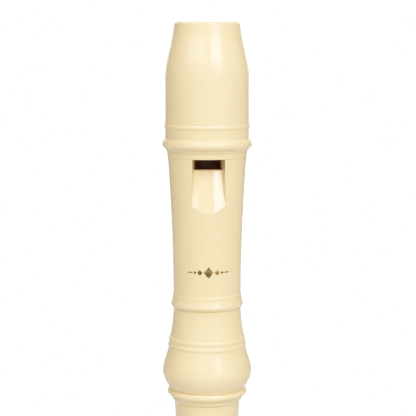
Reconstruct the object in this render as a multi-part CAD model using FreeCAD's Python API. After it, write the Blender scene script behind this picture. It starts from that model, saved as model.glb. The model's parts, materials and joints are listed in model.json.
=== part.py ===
import FreeCAD, Part
import math
import os

# Soprano recorder in C, moulded in ABS, in three joints: head, middle and foot.
# The bore's axis is Z, the foot's end face is at Z = 0 and the beak's tip is at the top.
# The window and the finger holes face -Y, and the thumb hole faces +Y.
# Heights along the instrument are given as drops, which are distances below the beak's tip.

# ---- driving dimensions, in millimetres ----

length = 330.0                 # beak's tip to the foot's end
seam_drop = 41.6               # lower edge of the beak cap, which is the window's top edge
head_end_drop = 118.75         # end of the head, where the middle joint shows
foot_top_drop = 260.0          # top of the foot

cap_radius = 13.12             # plain band of the beak cap
tip_radius = 10.28             # beak at its tip
tip_round = 1.3                # rounding of the tip's edge
beak_edge_round = 0.8          # rounding of the rear cut's edges
large_ring_radius = 14.0
bulb_radius = 14.0

bore_radius = 6.75             # head bore
block_radius = 8.6             # fipple plug, and the seat that holds it
spigot_radius = 10.4           # head body's spigot inside the beak cap
spigot_height = 9.0
glue_gap = 0.05                # clearance of the cemented head pieces
key_margin = 1.2               # cap's key beside the windway, which locates the spigot

floor_depth = 7.0              # windway floor, measured from the bore's axis
windway_heights = (1.35, 1.05)  # at the beak's tip and at the window
windway_widths = (10.0, 8.4)    # at the beak's tip and at the window

cut_up = 3.4                   # window's top edge to the lip
lip_depth = 7.2                # lip's edge, measured from the bore's axis
lip_thickness = 0.3
lip_bevel_height = 0.5         # short steep bevel just below the lip's edge
lip_bevel_depth = 0.55
ramp_angle = 15.5              # labium ramp from the bore's axis, in degrees
ramp_crown = 34.0              # radius of the ramp across its width
window_width = 8.4             # at the lip
recess_half_width = 5.15       # at the outer surface, beside the window
ramp_corner_round = 0.3        # between the ramp and its side walls

socket_radius = 9.05           # head socket
tenon_radius = 8.97            # upper tenon of the middle joint
tenon_length = 19.0
foot_socket_radius = 8.05
foot_tenon_radius = 7.97
foot_tenon_length = 14.0
socket_end_gap = 0.5           # a tenon stops this short of its socket's bottom

ring_seat_radius = 10.9        # lip that the head's socket ring sits on
ring_seat_drops = (114.2, 117.25)
foot_ring_seat_radius = 9.9
foot_ring_seat_drops = (261.4, 264.45)
ring_fit = 0.05                # radial clearance of a socket ring on its lip
ring_gap = 0.12                # axial gap at each end of that lip

tube_top_radius = 10.3         # middle joint at the head
tube_end_radius = 9.15         # middle joint at the foot
rest_seat_radius = 9.35        # straight stretch that a clip-on thumb rest grips
rest_seat_drops = (220.2, 231.8)
bore_ends = (6.6, 5.5)         # middle joint's bore, top and bottom
foot_bore_radius = 5.5

# Tone holes: drop below the windway's end, and diameter
single_holes = ((107.0, 5.0), (127.0, 5.8), (147.0, 6.2), (175.0, 5.2), (194.0, 6.0))
thumb_hole = (98.0, 5.2)
sixth_hole_drop = 212.0
sixth_hole_diameters = (3.5, 2.8)
seventh_hole_drop = 241.0
seventh_hole_diameters = (3.6, 2.6)
double_hole_spacing = 4.3
hole_edge_round = 0.35
double_hole_edge_round = 0.25

Z = FreeCAD.Vector(0, 0, 1)
ORIGIN = FreeCAD.Vector(0, 0, 0)


# ---- outlines and turned solids ----

def at(radius, drop):
    """Point of an outline, in the XZ plane."""
    return FreeCAD.Vector(radius, 0, length - drop)


def corner(radius, drop):
    """A straight run to this corner."""
    return lambda start: Part.LineSegment(start, at(radius, drop))


def bow(mid, end):
    """A circular arc through mid to end, each a (radius, drop) pair."""
    return lambda start: Part.Arc(start, at(*mid), at(*end))


def curve(*points):
    """A smooth curve through the points, each a (radius, drop) pair."""
    def through(start):
        spline = Part.BSplineCurve()
        spline.interpolate([start] + [at(*point) for point in points])
        return spline
    return through


def edges_of(start, steps):
    """Edges of an outline that starts at a (radius, drop) pair and follows the steps."""
    edges = []
    here = at(*start)
    for step in steps:
        piece = step(here)
        edges.append(piece.toShape())
        here = piece.EndPoint
    return edges


def turned(start, steps):
    """Solid turned about Z from a closed outline."""
    edges = edges_of(start, steps)
    first = edges[0].valueAt(edges[0].FirstParameter)
    last = edges[-1].valueAt(edges[-1].LastParameter)
    edges.append(Part.LineSegment(last, first).toShape())
    return Part.Face(Part.Wire(edges)).revolve(ORIGIN, Z, 360)


def cylinder(radius, top_drop, end_drop):
    """Cylinder on the bore's axis between two drops."""
    height = end_drop - top_drop
    return Part.makeCylinder(radius, height, FreeCAD.Vector(0, 0, length - end_drop), Z)


def cone(top_radius, end_radius, top_drop, end_drop):
    """Cone on the bore's axis between two drops."""
    height = end_drop - top_drop
    return Part.makeCone(end_radius, top_radius, height, FreeCAD.Vector(0, 0, length - end_drop), Z)


def box(x_range, y_range, drop_range):
    """Box between two values on each axis."""
    corner_point = FreeCAD.Vector(x_range[0], y_range[0], length - drop_range[1])
    sizes = (x_range[1] - x_range[0], y_range[1] - y_range[0], drop_range[1] - drop_range[0])
    return Part.makeBox(*sizes, corner_point)


def rectangle(half_width, y_near, y_far, drop):
    """Closed wire across the bore's axis at one drop."""
    z = length - drop
    corners = [
        FreeCAD.Vector(-half_width, y_near, z),
        FreeCAD.Vector(half_width, y_near, z),
        FreeCAD.Vector(half_width, y_far, z),
        FreeCAD.Vector(-half_width, y_far, z),
    ]
    return Part.makePolygon(corners + corners[:1])


# ---- head: windway, window and rear of the beak ----

def windway():
    """The air slot between the block's flat front and the cap, tapered in width and height."""
    overrun = 1.0
    top = rectangle(windway_widths[0] / 2, -floor_depth, -floor_depth - windway_heights[0], -overrun)
    end = rectangle(windway_widths[1] / 2, -floor_depth, -floor_depth - windway_heights[1],
                    seam_drop + overrun)
    return Part.makeLoft([top, end], True)


def plug(radius, top_drop, end_drop):
    """Round plug with the windway's flat floor along its front."""
    flat = box((-radius, radius), (-floor_depth, radius), (top_drop, end_drop))
    return cylinder(radius, top_drop, end_drop).common(flat)


def rear_cut():
    """Everything behind the concave rear face of the beak."""
    half_width = 20.0
    behind = 20.0
    top = FreeCAD.Vector(-half_width, 2.4, length + 1.0)
    middle = FreeCAD.Vector(-half_width, 5.6, length - 13.5)
    end = FreeCAD.Vector(-half_width, 14.6, length - 29.0)
    edges = [
        Part.Arc(top, middle, end).toShape(),
        Part.LineSegment(end, FreeCAD.Vector(-half_width, behind, end.z)).toShape(),
        Part.LineSegment(FreeCAD.Vector(-half_width, behind, end.z),
                         FreeCAD.Vector(-half_width, behind, top.z)).toShape(),
        Part.LineSegment(FreeCAD.Vector(-half_width, behind, top.z), top).toShape(),
    ]
    return Part.Face(Part.Wire(edges)).extrude(FreeCAD.Vector(2 * half_width, 0, 0))


def beak_blank():
    """The beak with its bead, large ring and rear cut, solid all through."""
    tip_sagitta = tip_round * (1 - math.sqrt(0.5))
    outside = turned((0, 0), [
        corner(tip_radius - tip_round, 0),
        bow((tip_radius - tip_sagitta, tip_sagitta), (tip_radius, tip_round)),
        curve((11.04, 6.0), (12.2, 11.2), (12.77, 14.2), (cap_radius - 0.08, 18.5)),
        corner(cap_radius, 31.3),
        bow((cap_radius + 0.24, 32.05), (cap_radius, 32.8)),
        corner(cap_radius, 35.45),
        bow((cap_radius + 0.06, 35.82), (cap_radius + 0.3, 36.1)),
        bow((large_ring_radius - 0.11, 36.8), (large_ring_radius, 37.4)),
        bow((large_ring_radius - 0.04, 37.9), (large_ring_radius - 0.18, 38.25)),
        corner(12.8, 39.25),
        corner(12.77, 39.62),
        corner(12.42, 39.92),
        corner(12.34, seam_drop - 0.3),
        bow((12.28, seam_drop - 0.09), (12.14, seam_drop)),
        corner(0, seam_drop),
    ])
    beak = outside.cut(rear_cut())
    rear_edges = []
    for face in beak.Faces:
        if face.Surface.TypeId == "Part::GeomCylinder" and abs(face.Surface.Axis.x) > 0.9:
            rear_edges += face.Edges
    return beak.makeFillet(beak_edge_round, rear_edges)


def make_beak_cap():
    key_half_width = windway_widths[1] / 2 + key_margin
    seat_top = seam_drop - spigot_height - glue_gap
    seat = cylinder(spigot_radius + glue_gap, seat_top, seam_drop + 1)
    key = box((-key_half_width, key_half_width), (-cap_radius, -floor_depth), (seat_top, seam_drop + 1))
    hollow = plug(block_radius, -1, seam_drop + 1).fuse(seat.cut(key))
    return beak_blank().cut([hollow, windway()])


def make_block():
    body = plug(block_radius - glue_gap, -1, seam_drop).common(beak_blank())
    chamfer = 0.5
    edge = [
        FreeCAD.Vector(-block_radius, -floor_depth, length - seam_drop + chamfer),
        FreeCAD.Vector(-block_radius, -floor_depth, length - seam_drop),
        FreeCAD.Vector(-block_radius, -floor_depth + chamfer, length - seam_drop),
    ]
    exit_chamfer = Part.Face(Part.makePolygon(edge + edge[:1])).extrude(
        FreeCAD.Vector(2 * block_radius, 0, 0))
    return body.cut(exit_chamfer)


def ramp_cutter():
    """Space in front of the labium ramp: crowned across, and tilted outwards as it runs down."""
    height = 31.0
    below = -30.0
    half_width = 12.0
    in_front = 20.0
    fall = ramp_crown - math.sqrt(ramp_crown**2 - half_width**2)
    start_depth = lip_depth + lip_bevel_depth
    slab_corner = FreeCAD.Vector(-half_width, -in_front, below)
    slab = Part.makeBox(2 * half_width, in_front + fall, height, slab_corner)
    crown = Part.makeCylinder(ramp_crown, height, FreeCAD.Vector(0, ramp_crown, below), Z)
    space = slab.cut(crown)
    space.rotate(ORIGIN, FreeCAD.Vector(1, 0, 0), -ramp_angle)
    space.translate(FreeCAD.Vector(0, -start_depth, length - seam_drop - cut_up - lip_bevel_height))
    return space


def recess_section(drop, half_width):
    """Section of the recess across the bore, wider at the surface than at the lip."""
    outer_depth = 14.0
    inner_depth = 4.0
    draft = (recess_half_width - window_width / 2) / (12.0 - lip_depth)
    half_out = half_width + draft * (outer_depth - lip_depth)
    half_in = half_width - draft * (lip_depth - inner_depth)
    z = length - drop
    corners = [
        FreeCAD.Vector(-half_out, -outer_depth, z),
        FreeCAD.Vector(half_out, -outer_depth, z),
        FreeCAD.Vector(half_in, -inner_depth, z),
        FreeCAD.Vector(-half_in, -inner_depth, z),
    ]
    return Part.makePolygon(corners + corners[:1])


def prism(outline, half_width):
    """Prism across the front, from corners given as (depth in front of the axis, drop) pairs."""
    corners = [FreeCAD.Vector(-half_width, -depth, length - drop) for depth, drop in outline]
    face = Part.Face(Part.makePolygon(corners + corners[:1]))
    return face.extrude(FreeCAD.Vector(2 * half_width, 0, 0))


def make_recess():
    """Window and labium ramp, cut between drafted side walls with a rounded foot."""
    lip_drop = seam_drop + cut_up
    bevel_drop = lip_drop + lip_bevel_height
    bevel_depth = lip_depth + lip_bevel_depth
    opening = prism([(4, seam_drop - 0.1), (20, seam_drop - 0.1), (20, bevel_drop + 0.01),
                     (bevel_depth, bevel_drop + 0.01), (lip_depth, lip_drop), (4, lip_drop)], 20)
    end_drop = seam_drop + 26.0
    splay = 0.85
    sides = Part.makeLoft([recess_section(seam_drop - 0.1, window_width / 2),
                           recess_section(end_drop, window_width / 2 + splay)], True)
    recess = opening.fuse(ramp_cutter()).removeSplitter().common(sides)
    foot_edges = [
        edge for edge in recess.Edges
        if edge.BoundBox.ZLength > 10 and edge.BoundBox.YLength > 1 and edge.BoundBox.YMax > -9
    ]
    return recess.makeFillet(ramp_corner_round, foot_edges)


def make_head_body():
    socket_bottom = head_end_drop - tenon_length - socket_end_gap
    ring_top, lip_end = ring_seat_drops
    outside = turned((0, seam_drop), [
        corner(12.2, seam_drop),
        bow((11.06, 62.0), (10.57, 84.15)),
        bow((10.69, 84.3), (10.75, 84.6)),
        corner(10.77, 85.2),
        bow((10.84, 85.85), (10.98, 86.2)),
        corner(10.96, 86.3),
        curve((11.12, 86.85), (11.34, 87.6), (11.14, 88.2), (10.54, 88.75)),
        curve((10.87, 93.2), (11.6, 97.8)),
        bow((12.1, 98.7), (11.98, 99.2)),
        corner(12.02, 99.85),
        bow((12.31, 100.5), (12.16, 101.2)),
        curve((12.98, 104.5), (13.74, 107.0), (bulb_radius, 108.95), (13.58, 111.2), (12.13, 113.88)),
        corner(12.12, ring_top),
        corner(ring_seat_radius, ring_top),
        corner(ring_seat_radius, lip_end),
        corner(0, lip_end),
    ])
    spigot = cylinder(spigot_radius, seam_drop - spigot_height, seam_drop)
    notch_half_width = windway_widths[1] / 2 + key_margin + glue_gap
    notch = box((-notch_half_width, notch_half_width), (-cap_radius, 0),
                (seam_drop - spigot_height, seam_drop))
    block_seat = cylinder(block_radius, seam_drop - spigot_height, seam_drop)
    body = outside.fuse(spigot.cut(block_seat)).cut(notch)
    bore = cylinder(bore_radius, seam_drop - 1, lip_end + 1)
    socket = cylinder(socket_radius, socket_bottom, lip_end + 1)

    lip_drop = seam_drop + cut_up
    lip_back = lip_depth - lip_thickness
    undercut = prism([(0, lip_drop - 0.5), (lip_back, lip_drop - 0.5), (lip_back, lip_drop + 1.0),
                      (5.2, lip_drop + 9.0), (0, lip_drop + 9.0)], window_width / 2)
    return body.cut([bore, socket, make_recess(), undercut])


# ---- socket rings ----

def make_head_socket_ring():
    seat_top, seat_end = ring_seat_drops
    top = seat_top + ring_gap
    return turned((ring_seat_radius + ring_fit, top), [
        corner(11.72, top),
        bow((12.26, 114.82), (12.5, 115.45)),
        bow((12.5, 115.9), (12.3, 116.25)),
        corner(11.05, 117.5),
        corner(11.0, 118.08),
        corner(10.36, head_end_drop),
        corner(socket_radius, head_end_drop),
        corner(socket_radius, seat_end + ring_gap),
        corner(ring_seat_radius + ring_fit, seat_end + ring_gap),
    ])


def make_foot_socket_ring():
    seat_top, seat_end = foot_ring_seat_drops
    end = seat_end - ring_gap
    return turned((foot_socket_radius, foot_top_drop), [
        corner(tube_end_radius + 0.1, foot_top_drop),
        corner(11.2, foot_top_drop + 2.15),
        bow((11.42, foot_top_drop + 2.6), (11.5, foot_top_drop + 3.2)),
        bow((11.36, foot_top_drop + 3.85), (10.95, end)),
        corner(foot_ring_seat_radius + ring_fit, end),
        corner(foot_ring_seat_radius + ring_fit, seat_top - ring_gap),
        corner(foot_socket_radius, seat_top - ring_gap),
    ])


# ---- tone holes ----

def tone_hole(drop, diameter, angle):
    """Radial hole, at an angle from the front in degrees."""
    reach = 16.0
    hole = Part.makeCylinder(diameter / 2, reach, ORIGIN, FreeCAD.Vector(0, -1, 0))
    hole.rotate(ORIGIN, Z, angle)
    hole.translate(FreeCAD.Vector(0, 0, length - seam_drop - drop))
    return hole


def finger_seat(drop, wall_radius, depth):
    """Shallow scoop across the front that holds a double hole."""
    scoop_radius = 22.0
    centre = FreeCAD.Vector(-20, -wall_radius + depth - scoop_radius, length - seam_drop - drop)
    return Part.makeCylinder(scoop_radius, 40, centre, FreeCAD.Vector(1, 0, 0))


def double_hole(drop, diameters, wall_radius):
    """Two small holes side by side, the larger on the left as seen from the front."""
    swing = math.degrees(double_hole_spacing / 2 / wall_radius)
    return [tone_hole(drop, diameters[0], -swing), tone_hole(drop, diameters[1], swing)]


def eased(shape, round_radius, inner_radius, drops):
    """The shape with the rims at these drops rounded, on its outside beyond the inner radius."""
    rims = []
    for edge in shape.Edges:
        extent = edge.BoundBox
        depth = min(math.hypot(vertex.Point.x, vertex.Point.y) for vertex in edge.Vertexes)
        centre_drop = length - seam_drop - extent.Center.z
        near = any(abs(centre_drop - drop) < 0.5 for drop in drops)
        if near and depth > inner_radius and extent.ZLength > 2:
            rims.append(edge)
    return shape.makeFillet(round_radius, rims)


# ---- middle joint ----

def tenon_grooves(radius, start_drop, offsets):
    """Fine grease grooves round a tenon."""
    width = 0.8
    depth = 0.3
    rings = []
    for offset in offsets:
        top = start_drop + offset
        outer = cylinder(radius + 1, top, top + width)
        rings.append(outer.cut(cylinder(radius - depth, top, top + width)))
    return rings


def make_middle_joint():
    tenon_top = head_end_drop - tenon_length
    tenon_end = foot_top_drop + foot_tenon_length
    chamfer = 0.6
    outside = turned((0, tenon_top), [
        corner(tenon_radius - chamfer, tenon_top),
        corner(tenon_radius, tenon_top + chamfer),
        corner(tenon_radius, head_end_drop),
        corner(tube_top_radius, head_end_drop),
        curve((9.98, 126.0), (9.82, 140.0), (9.6, 180.0), (rest_seat_radius, rest_seat_drops[0])),
        corner(rest_seat_radius, rest_seat_drops[1]),
        corner(tube_end_radius, foot_top_drop),
        corner(foot_tenon_radius, foot_top_drop),
        corner(foot_tenon_radius, tenon_end - chamfer),
        corner(foot_tenon_radius - chamfer, tenon_end),
        corner(0, tenon_end),
    ])
    bore = cone(*bore_ends, tenon_top - 0.01, tenon_end + 0.01)
    cuts = [bore]
    cuts += tenon_grooves(tenon_radius, tenon_top, (3.0, 5.0, 12.0, 14.0))
    cuts += tenon_grooves(foot_tenon_radius, foot_top_drop, (3.0, 8.5, 10.5))
    cuts.append(finger_seat(sixth_hole_drop, 9.15, 1.0))
    for drop, diameter in single_holes:
        cuts.append(tone_hole(drop, diameter, 0))
    cuts.append(tone_hole(*thumb_hole, 180))
    cuts += double_hole(sixth_hole_drop, sixth_hole_diameters, 8.3)
    single_drops = [drop for drop, _ in single_holes] + [thumb_hole[0]]
    tube = eased(outside.cut(cuts), hole_edge_round, 7.4, single_drops)
    return eased(tube, double_hole_edge_round, 7.4, [sixth_hole_drop])


# ---- foot joint ----

def make_foot_joint():
    lip_top, ring_end = foot_ring_seat_drops
    socket_bottom = foot_top_drop + foot_tenon_length + socket_end_gap
    outside = turned((0, lip_top), [
        corner(foot_ring_seat_radius, lip_top),
        corner(foot_ring_seat_radius, ring_end),
        corner(11.0, ring_end),
        curve((12.35, 266.6), (12.8, 269.2), (12.4, 272.0), (11.45, 275.2)),
        bow((11.6, 276.0), (11.3, 276.8)),
        bow((11.4, 277.6), (11.0, 278.4)),
        curve((10.25, 284.0), (9.85, 292.0), (9.95, 300.0), (10.35, 306.0)),
        bow((11.0, 307.3), (10.8, 308.6)),
        bow((10.87, 309.2), (11.15, 309.6)),
        corner(11.2, 310.5),
        curve((11.35, 314.0), (12.0, 320.0), (12.6, 325.5)),
        bow((12.55, 328.2), (11.4, length)),
        corner(0, length),
    ])
    cuts = [
        cylinder(foot_socket_radius, lip_top - 1, socket_bottom),
        cylinder(foot_bore_radius, socket_bottom - 1, length + 1),
        finger_seat(seventh_hole_drop, 10.3, 0.9),
    ]
    cuts += double_hole(seventh_hole_drop, seventh_hole_diameters, 9.6)
    return eased(outside.cut(cuts), double_hole_edge_round, 8.0, [seventh_hole_drop])


nodes = {
    "beak_cap": make_beak_cap(),
    "block": make_block(),
    "head_body": make_head_body(),
    "head_socket_ring": make_head_socket_ring(),
    "middle_joint": make_middle_joint(),
    "foot_socket_ring": make_foot_socket_ring(),
    "foot_joint": make_foot_joint(),
}

os.makedirs("parts", exist_ok=True)
for name, shape in nodes.items():
    solid = shape.Solids[0]
    print(name, "solids", len(shape.Solids), "valid", shape.isValid(), "cm3", round(shape.Volume / 1000, 2))
    solid.exportStep("parts/" + name + ".step")
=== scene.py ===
import bpy
import json
import math
from mathutils import Matrix, Vector


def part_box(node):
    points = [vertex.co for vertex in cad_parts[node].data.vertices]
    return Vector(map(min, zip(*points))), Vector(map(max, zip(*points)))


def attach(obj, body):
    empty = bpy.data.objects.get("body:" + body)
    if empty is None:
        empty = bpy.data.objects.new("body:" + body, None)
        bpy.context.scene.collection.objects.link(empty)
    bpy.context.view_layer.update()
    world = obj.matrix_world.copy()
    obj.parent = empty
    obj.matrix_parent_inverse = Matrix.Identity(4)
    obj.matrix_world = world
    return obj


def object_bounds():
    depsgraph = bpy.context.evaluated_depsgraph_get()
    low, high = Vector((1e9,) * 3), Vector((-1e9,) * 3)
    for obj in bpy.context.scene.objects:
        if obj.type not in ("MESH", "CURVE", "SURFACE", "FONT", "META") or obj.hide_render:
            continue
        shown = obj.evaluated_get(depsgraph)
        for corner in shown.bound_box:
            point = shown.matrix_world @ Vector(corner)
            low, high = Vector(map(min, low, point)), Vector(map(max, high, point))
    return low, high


# Soprano recorder in cream ABS, head up, in a pale studio.
# The CAD nodes keep their shapes and get moulded-plastic materials; a gilt ornament is added to the head.

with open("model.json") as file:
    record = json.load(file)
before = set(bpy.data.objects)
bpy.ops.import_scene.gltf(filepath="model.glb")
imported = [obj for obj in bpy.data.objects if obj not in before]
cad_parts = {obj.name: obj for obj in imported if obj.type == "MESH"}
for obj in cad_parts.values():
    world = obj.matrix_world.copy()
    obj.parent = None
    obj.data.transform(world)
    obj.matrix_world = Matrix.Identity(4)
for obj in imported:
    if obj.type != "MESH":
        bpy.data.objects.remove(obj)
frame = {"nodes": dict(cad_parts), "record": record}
cad_low, cad_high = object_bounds()
nodes = frame["nodes"]

MM = 0.001
TIP_HEIGHT = cad_high.z

# ---- camera ----

CAMERA_AZIMUTH = -2.6          # degrees about the bore's axis, from straight in front
CAMERA_DISTANCE = 432.7 * MM
CAMERA_BELOW_TIP = 2.64 * MM
CAMERA_SIDE = 0.29 * MM
CAMERA_PITCH = 7.25            # degrees downwards
LENS = 121.15
SENSOR_WIDTH = 36.0


def from_camera_side(azimuth, elevation):
    """Unit vector from the object. Azimuth 0 is the camera's side, and it grows to the camera's right."""
    turn = math.radians(azimuth + CAMERA_AZIMUTH)
    rise = math.radians(elevation)
    return Vector((math.sin(turn) * math.cos(rise), -math.cos(turn) * math.cos(rise), math.sin(rise)))


def make_camera():
    data = bpy.data.cameras.new("camera")
    data.lens = LENS
    data.sensor_width = SENSOR_WIDTH
    camera = bpy.data.objects.new("camera", data)
    turn = math.radians(CAMERA_AZIMUTH)
    right = Vector((math.cos(turn), math.sin(turn), 0))
    camera.location = from_camera_side(0, 0) * CAMERA_DISTANCE + right * CAMERA_SIDE
    camera.location.z = TIP_HEIGHT - CAMERA_BELOW_TIP
    camera.rotation_euler = (math.radians(90 - CAMERA_PITCH), 0, turn)
    bpy.context.scene.collection.objects.link(camera)
    bpy.context.scene.camera = camera


# ---- shader node helpers ----

def add(tree, kind, inputs=None, **settings):
    """New node with its settings, whose inputs are given numbers or linked to sockets."""
    node = tree.nodes.new(kind)
    for name, value in settings.items():
        setattr(node, name, value)
    for key, value in (inputs or {}).items():
        if isinstance(value, bpy.types.NodeSocket):
            tree.links.new(value, node.inputs[key])
        else:
            node.inputs[key].default_value = value
    return node


def calc(tree, operation, a, b=0.0):
    return add(tree, "ShaderNodeMath", {0: a, 1: b}, operation=operation).outputs[0]


def smooth_step(tree, value, start, end, low=0.0, high=1.0):
    """Goes smoothly from low at start to high at end."""
    inputs = {"Value": value, "From Min": start, "From Max": end, "To Min": low, "To Max": high}
    return add(tree, "ShaderNodeMapRange", inputs, interpolation_type="SMOOTHSTEP").outputs["Result"]


def blended(tree, factor, a, b):
    """Colour a where the factor is 0, colour b where it is 1."""
    node = add(tree, "ShaderNodeMix", data_type="RGBA")
    for name, value in (("Factor_Float", factor), ("A_Color", a), ("B_Color", b)):
        socket = next(s for s in node.inputs if s.identifier == name)
        if isinstance(value, bpy.types.NodeSocket):
            tree.links.new(value, socket)
        else:
            socket.default_value = value
    return next(s for s in node.outputs if s.identifier == "Result_Color")


def noise(tree, place, size, detail=3.0, stretch=(1, 1, 1), shift=0.0):
    """Noise whose blobs are about this size in metres, 0 to 1."""
    scaled = add(tree, "ShaderNodeMapping", {"Vector": place, "Scale": stretch, "Location": (shift,) * 3})
    inputs = {"Vector": scaled.outputs[0], "Scale": 1 / size, "Detail": detail}
    return add(tree, "ShaderNodeTexNoise", inputs).outputs[0]


def principled(name):
    material = bpy.data.materials.new(name)
    material.use_nodes = True
    return material, material.node_tree, material.node_tree.nodes["Principled BSDF"]


# ---- studio ----

SOFTBOX_DISTANCE = 1.5
LIGHT_TARGET = Vector((0, 0, TIP_HEIGHT - 70 * MM))
SOFTBOX_TINT = (1.0, 0.95, 1.18)
AMBIENT = 0.31
AMBIENT_TINT = (0.94, 1.0, 0.90, 1)
# Glows of the studio's walls: direction, added strength, and the cosines where each starts and is full
WALL_GLOWS = (
    (from_camera_side(15, 25), 0.76, 0.3, 0.95),
    (from_camera_side(180, 5), 1.1, 0.8, 0.95),
)


def make_softbox(name, azimuths, elevations, radiance, roll=0.0, low_glow=1.0, glow_end=0.5):
    """A softbox aimed at the head, between two azimuths and two elevations as seen from there.

    Its radiance grows from low_glow of the full value at the lower edge, up to glow_end of its height.
    """
    azimuth = sum(azimuths) / 2
    elevation = sum(elevations) / 2
    half_width = math.radians(azimuths[1] - azimuths[0]) / 2 * math.cos(math.radians(elevation))
    half_height = math.radians(elevations[1] - elevations[0]) / 2
    width, height = (2 * SOFTBOX_DISTANCE * math.tan(half) for half in (half_width, half_height))
    away = from_camera_side(azimuth, elevation)
    aim = away.to_track_quat("Z", "Y").to_matrix() @ Matrix.Rotation(math.radians(roll), 3, "Z")
    centre = LIGHT_TARGET + away * SOFTBOX_DISTANCE

    light = bpy.data.lights.new(name, "AREA")
    light.shape = "RECTANGLE"
    light.size, light.size_y = width, height
    light.color = SOFTBOX_TINT
    light.energy = radiance * math.pi * width * height
    light.use_nodes = True
    tree = light.node_tree
    place = add(tree, "ShaderNodeNewGeometry").outputs["Position"]
    from_centre = add(tree, "ShaderNodeVectorMath", {0: place, 1: centre}, operation="SUBTRACT").outputs[0]
    above = add(tree, "ShaderNodeVectorMath", {0: from_centre, 1: aim.col[1]}, operation="DOT_PRODUCT")
    glow = smooth_step(tree, above.outputs["Value"], -height / 2, height * (glow_end - 0.5), low_glow, 1.0)
    tree.links.new(glow, tree.nodes["Emission"].inputs["Strength"])

    lamp = bpy.data.objects.new(name, light)
    lamp.matrix_world = Matrix.Translation(centre) @ aim.to_4x4()
    lamp.visible_camera = False
    bpy.context.scene.collection.objects.link(lamp)


def make_world():
    """Soft ambient light, with a brighter side behind the camera and another behind the object."""
    world = bpy.data.worlds.new("studio")
    world.use_nodes = True
    tree = world.node_tree
    direction = add(tree, "ShaderNodeTexCoord").outputs["Generated"]
    strength = AMBIENT
    for facing, extra, start, end in WALL_GLOWS:
        towards = add(tree, "ShaderNodeVectorMath", {0: direction, 1: facing}, operation="DOT_PRODUCT")
        glow = smooth_step(tree, towards.outputs["Value"], start, end, 0.0, extra)
        strength = calc(tree, "ADD", glow, strength)
    tree.links.new(strength, tree.nodes["Background"].inputs["Strength"])
    tree.nodes["Background"].inputs["Color"].default_value = AMBIENT_TINT
    bpy.context.scene.world = world


ROUND_SIDES = 96


def ring_mesh(name, rings):
    """Mesh turned about Z through (radius, height) pairs."""
    verts = []
    for radius, height in rings:
        for side in range(ROUND_SIDES):
            turn = 2 * math.pi * side / ROUND_SIDES
            verts.append((radius * math.cos(turn), radius * math.sin(turn), height))
    faces = []
    for row in range(len(rings) - 1):
        inner = row * ROUND_SIDES
        outer = inner + ROUND_SIDES
        for side in range(ROUND_SIDES):
            following = (side + 1) % ROUND_SIDES
            faces.append((inner + side, inner + following, outer + following, outer + side))
    mesh = bpy.data.meshes.new(name)
    mesh.from_pydata(verts, [], faces)
    return mesh


def stage_object(name, mesh, material):
    mesh.materials.append(material)
    thing = bpy.data.objects.new(name, mesh)
    bpy.context.scene.collection.objects.link(thing)
    return thing


FLOOR_RADII = (0.1 * MM, 0.2, 3.0)
FLOOR_SHADES = ((0.62, 0.62, 0.615, 1), (0.65, 0.65, 0.65, 1))
FLOOR_MOTTLE = 0.12
WHITE_FROM = (0.34, 0.72)      # the floor's own shade fades into white between these radii
SURROUND_RADIUS = 9.0
SURROUND_TOP_RADIUS = 10 * MM
SURROUND_LIFT = 0.5 * MM       # keeps the white cover clear of the floor
SURROUND_STEP = 10             # degrees from one ring of the dome to the next
WHITE = 1.6


def make_stage():
    """A pale round floor, and a white surround that only the camera sees."""
    material, tree, shader = principled("pale_floor")
    shader.inputs["Roughness"].default_value = 0.9
    shader.inputs["Specular IOR Level"].default_value = 0.0
    place = add(tree, "ShaderNodeTexCoord").outputs["Object"]
    shade = blended(tree, noise(tree, place, FLOOR_MOTTLE), *FLOOR_SHADES)
    tree.links.new(shade, shader.inputs["Base Color"])
    stage_object("floor", ring_mesh("floor", [(radius, 0) for radius in FLOOR_RADII]), material)

    material, tree, shader = principled("white_surround")
    shader.inputs["Base Color"].default_value = (0, 0, 0, 1)
    shader.inputs["Emission Color"].default_value = (1, 1, 1, 1)
    shader.inputs["Emission Strength"].default_value = WHITE
    place = add(tree, "ShaderNodeTexCoord").outputs["Object"]
    radius = add(tree, "ShaderNodeVectorMath", {0: place}, operation="LENGTH").outputs["Value"]
    tree.links.new(smooth_step(tree, radius, *WHITE_FROM), shader.inputs["Alpha"])
    rings = [(WHITE_FROM[0], SURROUND_LIFT), (WHITE_FROM[1], SURROUND_LIFT)]
    for rise in range(0, 90, SURROUND_STEP):
        turn = math.radians(rise)
        rings.append((SURROUND_RADIUS * math.cos(turn), SURROUND_LIFT + SURROUND_RADIUS * math.sin(turn)))
    rings.append((SURROUND_TOP_RADIUS, SURROUND_RADIUS))
    surround = stage_object("surround", ring_mesh("surround", rings), material)
    surround.visible_diffuse = False
    surround.visible_glossy = False
    surround.visible_transmission = False
    surround.visible_shadow = False


# ---- response of the film: a soft shoulder before white ----

SHOULDER = ((0.0, 0.0), (0.35, 0.35), (0.62, 0.61), (0.85, 0.783), (1.14, 0.922), (1.4, 1.0))


def set_film_response():
    view = bpy.context.scene.view_settings
    view.view_transform = "Standard"
    view.use_curve_mapping = True
    mapping = view.curve_mapping
    white = SHOULDER[-1][0]
    mapping.white_level = (white,) * 3
    mapping.extend = "HORIZONTAL"
    curve = mapping.curves[3]
    for scene_value, _ in SHOULDER[1:-1]:
        curve.points.new(scene_value / white, 0.5)
    for point, (scene_value, shown) in zip(curve.points, SHOULDER):
        point.location = (scene_value / white, shown)
    mapping.update()


# ---- moulded ABS ----

CREAM = (0.805, 0.632, 0.355, 1)
CREAM_DEEP = (0.78, 0.602, 0.325, 1)
CREAM_WORN = (0.835, 0.672, 0.41, 1)
# Painted shade: golden-brown put in creases and recesses where shade and interreflection fall
CREVICE_PAINTED_SHADE = (0.83, 0.56, 0.16, 1)
# Painted shade: dark brown put down the bore, which is cream plastic in deep shade
BORE_PAINTED_SHADE = (0.40, 0.14, 0.055, 1)

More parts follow.
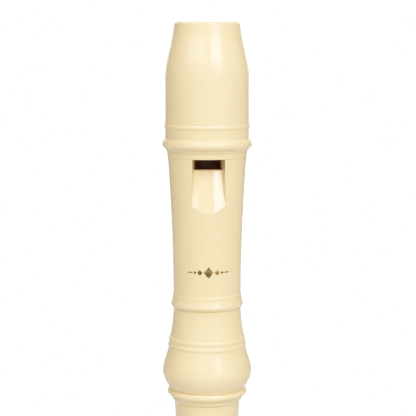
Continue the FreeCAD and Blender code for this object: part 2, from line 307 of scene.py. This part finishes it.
EDGE_WIDTH = 0.35 * MM
CREVICE_DEPTH = 2.5 * MM
LINE_FROM_RADIUS = (8.6 * MM, 9.0 * MM)        # the parting line shows only outside these radii
LINE_HALF_WIDTH = (0.02 * MM, 0.16 * MM)

WEAR_COVER = 0.7               # how far each mask takes the cream to its colour: rubbed edges to wear, crevices and the bore to painted shade
CREVICE_SHADE_COVER = 0.6
BORE_SHADE_COVER = 0.97

FLOW_SIZE = 30 * MM
MOTTLE_SIZE = 5 * MM
HANDLING_SIZE = 9 * MM
HAIRLINE_SIZE = 0.5 * MM
PEEL_SIZE = 2.2 * MM

HANDLING_ROUGHNESS = 0.06      # added to the plastic's own roughness
HAIRLINE_ROUGHNESS = 0.05
BORE_ROUGHNESS = 0.25
SHINE = 0.5

PEEL_HEIGHT = 0.25
HAIRLINE_HEIGHT = 0.06
LINE_HEIGHT = 0.6


def masks(tree, place):
    """Where the surface is inside the bore, at a moulded edge, in a crevice, or on the parting line.

    The inside is found right only near a body's rest angle, because the normal is the world's and turns.
    The inside and crevice masks carry painted shade.
    """
    across = add(tree, "ShaderNodeSeparateXYZ", {0: place})
    flat = add(tree, "ShaderNodeCombineXYZ", {0: across.outputs["X"], 1: across.outputs["Y"]})
    radius = add(tree, "ShaderNodeVectorMath", {0: flat.outputs[0]}, operation="LENGTH").outputs["Value"]
    geometry = add(tree, "ShaderNodeNewGeometry")
    outwards = add(tree, "ShaderNodeVectorMath", {0: flat.outputs[0]}, operation="NORMALIZE").outputs[0]
    facing = add(tree, "ShaderNodeVectorMath", {0: outwards, 1: geometry.outputs["Normal"]},
                 operation="DOT_PRODUCT").outputs["Value"]
    inside = smooth_step(tree, facing, -0.9, -0.6, 1.0, 0.0)
    rounded = add(tree, "ShaderNodeBevel", {"Radius": EDGE_WIDTH}, samples=4).outputs["Normal"]
    agreement = add(tree, "ShaderNodeVectorMath", {0: rounded, 1: geometry.outputs["Normal"]},
                    operation="DOT_PRODUCT").outputs["Value"]
    edge = smooth_step(tree, agreement, 0.80, 0.99, 1.0, 0.0)
    open_air = add(tree, "ShaderNodeAmbientOcclusion", {"Distance": CREVICE_DEPTH}, samples=6).outputs["AO"]
    crevice = smooth_step(tree, open_air, 0.35, 0.90, 1.0, 0.0)
    from_line = calc(tree, "ABSOLUTE", across.outputs["Y"])
    outer = smooth_step(tree, radius, *LINE_FROM_RADIUS)
    line = calc(tree, "MULTIPLY", smooth_step(tree, from_line, *LINE_HALF_WIDTH, 1.0, 0.0), outer)
    return inside, edge, crevice, line


def cream_abs(name, roughness, shift, duller=()):
    """Cream ABS from the mould: glossy, faintly uneven, with a parting line and handling marks, and painted
    shade in its crevices and bore.

    Each duller zone gives the height where it starts, the height where it is full, and the roughness added.
    """
    material, tree, shader = principled(name)
    place = add(tree, "ShaderNodeTexCoord").outputs["Object"]
    inside, edge, crevice, line = masks(tree, place)

    flow = noise(tree, place, FLOW_SIZE, 2.0, stretch=(1, 1, 0.4), shift=shift)
    mottle = noise(tree, place, MOTTLE_SIZE, 4.0, shift=shift + 3)
    colour = blended(tree, smooth_step(tree, flow, 0.35, 0.7), CREAM, CREAM_DEEP)
    worn = calc(tree, "MULTIPLY", edge, smooth_step(tree, mottle, 0.3, 0.6))
    colour = blended(tree, calc(tree, "MULTIPLY", worn, WEAR_COVER), colour, CREAM_WORN)
    # Painted shade: creases and recesses found by ambient occlusion turn golden-brown
    colour = blended(tree, calc(tree, "MULTIPLY", crevice, CREVICE_SHADE_COVER), colour, CREVICE_PAINTED_SHADE)
    # Painted shade: surfaces facing the axis turn dark brown
    colour = blended(tree, calc(tree, "MULTIPLY", inside, BORE_SHADE_COVER), colour, BORE_PAINTED_SHADE)
    tree.links.new(colour, shader.inputs["Base Color"])
    shader.inputs["Subsurface Weight"].default_value = 0.15
    shader.inputs["Subsurface Radius"].default_value = (1.0, 0.55, 0.22)
    shader.inputs["Subsurface Scale"].default_value = 0.3 * MM

    handling = noise(tree, place, HANDLING_SIZE, 5.0, shift=shift + 7)
    hairlines = noise(tree, place, HAIRLINE_SIZE, 2.0, stretch=(1, 1, 0.03), shift=shift + 11)
    gloss = smooth_step(tree, handling, 0.4, 0.75, roughness, roughness + HANDLING_ROUGHNESS)
    gloss = calc(tree, "ADD", gloss, smooth_step(tree, hairlines, 0.60, 0.75, 0.0, HAIRLINE_ROUGHNESS))
    gloss = calc(tree, "ADD", gloss, calc(tree, "MULTIPLY", inside, BORE_ROUGHNESS))
    above_foot = add(tree, "ShaderNodeSeparateXYZ", {0: place}).outputs["Z"]
    for start, end, extra in duller:
        gloss = calc(tree, "ADD", gloss, smooth_step(tree, above_foot, start, end, 0.0, extra))
    tree.links.new(gloss, shader.inputs["Roughness"])
    shine = smooth_step(tree, crevice, 0.2, 0.8, SHINE, 0.0)
    tree.links.new(shine, shader.inputs["Specular IOR Level"])

    peel = noise(tree, place, PEEL_SIZE, 2.0, shift=shift + 5)
    height = calc(tree, "MULTIPLY", peel, PEEL_HEIGHT)
    height = calc(tree, "ADD", height, calc(tree, "MULTIPLY", hairlines, HAIRLINE_HEIGHT))
    height = calc(tree, "ADD", height, calc(tree, "MULTIPLY", line, LINE_HEIGHT))
    bump = add(tree, "ShaderNodeBump", {"Strength": 0.12, "Distance": 0.05 * MM, "Height": height})
    tree.links.new(bump.outputs["Normal"], shader.inputs["Normal"])
    return material


# ---- gilt ornament, hot-stamped on the head ----

ORNAMENT_DROP = 0.517          # share of the head body's height, from its top
HEAD_GIRTH_RADIUS = 10.8 * MM  # turns millimetres along the girth into an angle
CLEAR_OF_HEAD = 3 * HEAD_GIRTH_RADIUS
FOIL_LIFT = 0.03 * MM
FOIL_COLUMNS = 16
FOIL_ROWS = 4
SHARPEST_POINT = 0.01          # share of a mark's half height left at its points
FOIL_DARK = (0.17, 0.105, 0.035, 1)
FOIL_BRIGHT = (0.52, 0.36, 0.12, 1)


def lozenge(u):
    return 1 - abs(u)


def leaf(u):
    return 1 - u * u


# Place along the girth, half width and half height in millimetres, and outline of each mark
ORNAMENT = (
    (0.0, 1.55, 1.8, lozenge),
    (2.75, 0.85, 0.85, lozenge),
    (-2.75, 0.85, 0.85, lozenge),
    (4.35, 0.5, 0.5, lozenge),
    (-4.35, 0.5, 0.5, lozenge),
    (6.0, 0.95, 0.2, leaf),
    (-6.0, 0.95, 0.2, leaf),
)


def on_head(girth, height):
    """Point on the front of the head and its outward normal, from a place along the girth."""
    turn = girth / HEAD_GIRTH_RADIUS
    outwards = Vector((math.sin(turn), -math.cos(turn), 0))
    start = outwards * CLEAR_OF_HEAD + Vector((0, 0, height))
    _, place, normal, _ = nodes["head_body"].ray_cast(start, -outwards)
    return place, normal


def make_ornament():
    """Thin conforming foil marks, each closed and a little proud of the plastic."""
    low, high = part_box("head_body")
    centre = high.z - ORNAMENT_DROP * (high.z - low.z)
    verts = []
    faces = []
    for middle, half_width, half_height, outline in ORNAMENT:
        base = len(verts)
        for lift in (FOIL_LIFT, -FOIL_LIFT):
            for column in range(FOIL_COLUMNS + 1):
                u = 2 * column / FOIL_COLUMNS - 1
                reach = max(outline(u), SHARPEST_POINT) * half_height
                for row in range(FOIL_ROWS + 1):
                    v = 2 * row / FOIL_ROWS - 1
                    place, normal = on_head((middle + u * half_width) * MM, centre + v * reach * MM)
                    verts.append(place + normal * lift)
        span = FOIL_ROWS + 1
        layer = (FOIL_COLUMNS + 1) * span
        for column in range(FOIL_COLUMNS):
            for row in range(FOIL_ROWS):
                a = base + column * span + row
                faces.append((a, a + span, a + span + 1, a + 1))
                faces.append((a + layer, a + layer + 1, a + layer + span + 1, a + layer + span))
        rim = [base + column * span for column in range(FOIL_COLUMNS + 1)]
        rim += [base + FOIL_COLUMNS * span + row for row in range(1, FOIL_ROWS + 1)]
        rim += [base + column * span + FOIL_ROWS for column in range(FOIL_COLUMNS - 1, -1, -1)]
        rim += [base + row for row in range(FOIL_ROWS - 1, 0, -1)]
        for here, following in zip(rim, rim[1:] + rim[:1]):
            faces.append((following, here, here + layer, following + layer))
    mesh = bpy.data.meshes.new("gilt_ornament")
    mesh.from_pydata(verts, [], faces)
    mesh.materials.append(gilt_foil())
    ornament = bpy.data.objects.new("gilt_ornament", mesh)
    bpy.context.scene.collection.objects.link(ornament)
    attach(ornament, "head")


def gilt_foil():
    """Hot-stamped gold foil, darkened and rubbed thin in places."""
    material, tree, shader = principled("gilt_foil")
    place = add(tree, "ShaderNodeTexCoord").outputs["Object"]
    rubbed = noise(tree, place, 1.6 * MM, 4.0)
    grain = noise(tree, place, 0.25 * MM, 3.0, shift=5)
    colour = blended(tree, smooth_step(tree, rubbed, 0.42, 0.66), FOIL_DARK, FOIL_BRIGHT)
    tree.links.new(colour, shader.inputs["Base Color"])
    shader.inputs["Metallic"].default_value = 0.85
    tree.links.new(smooth_step(tree, grain, 0.3, 0.7, 0.24, 0.42), shader.inputs["Roughness"])
    bump = add(tree, "ShaderNodeBump", {"Strength": 0.3, "Distance": 0.02 * MM, "Height": grain})
    tree.links.new(bump.outputs["Normal"], shader.inputs["Normal"])
    return material


make_camera()
make_stage()
make_world()
make_softbox("softbox_right", (12, 45), (21.5, 32), 8.8, low_glow=0.2, glow_end=0.4)
make_softbox("softbox_right_low", (24.5, 40), (11, 20), 4.2)
make_softbox("softbox_right_high", (8, 56), (45, 58), 9.0)
make_softbox("softbox_left", (-64, -5.5), (24.0, 33), 3.4, roll=3)
make_softbox("softbox_left_high", (-64, -16), (45, 58), 6.5)
make_softbox("softbox_back", (150, 205), (34, 58), 6.0)
set_film_response()

# Duller zones, as cream_abs takes them
MOUTHED_BEAK = (TIP_HEIGHT - 32 * MM, TIP_HEIGHT - 18 * MM, 0.10)
SATIN_ROUGHNESS = 0.20
SATIN_START = 0.3 * MM
head_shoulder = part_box("head_socket_ring")[0].z
foot_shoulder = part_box("foot_socket_ring")[1].z
SATIN_TENONS = (
    (head_shoulder, head_shoulder + SATIN_START, SATIN_ROUGHNESS),
    (foot_shoulder, foot_shoulder - SATIN_START, SATIN_ROUGHNESS),
)
# Roughness, shift of the noises, and duller zones of each material slot
SLOT_LOOKS = {
    "head_abs": (0.07, 0.0, (MOUTHED_BEAK,)),
    "ring_abs": (0.08, 1.3),
    "middle_abs": (0.10, 2.7, SATIN_TENONS),
    "foot_abs": (0.08, 4.1),
    "block_abs": (0.3, 5.9),
}
materials = {slot: cream_abs(slot, *look) for slot, look in SLOT_LOOKS.items()}
for subpart in frame["record"]["subparts"]:
    node = nodes[subpart["node"]]
    node.data.materials.clear()
    node.data.materials.append(materials[subpart["material_slot"]])

make_ornament()
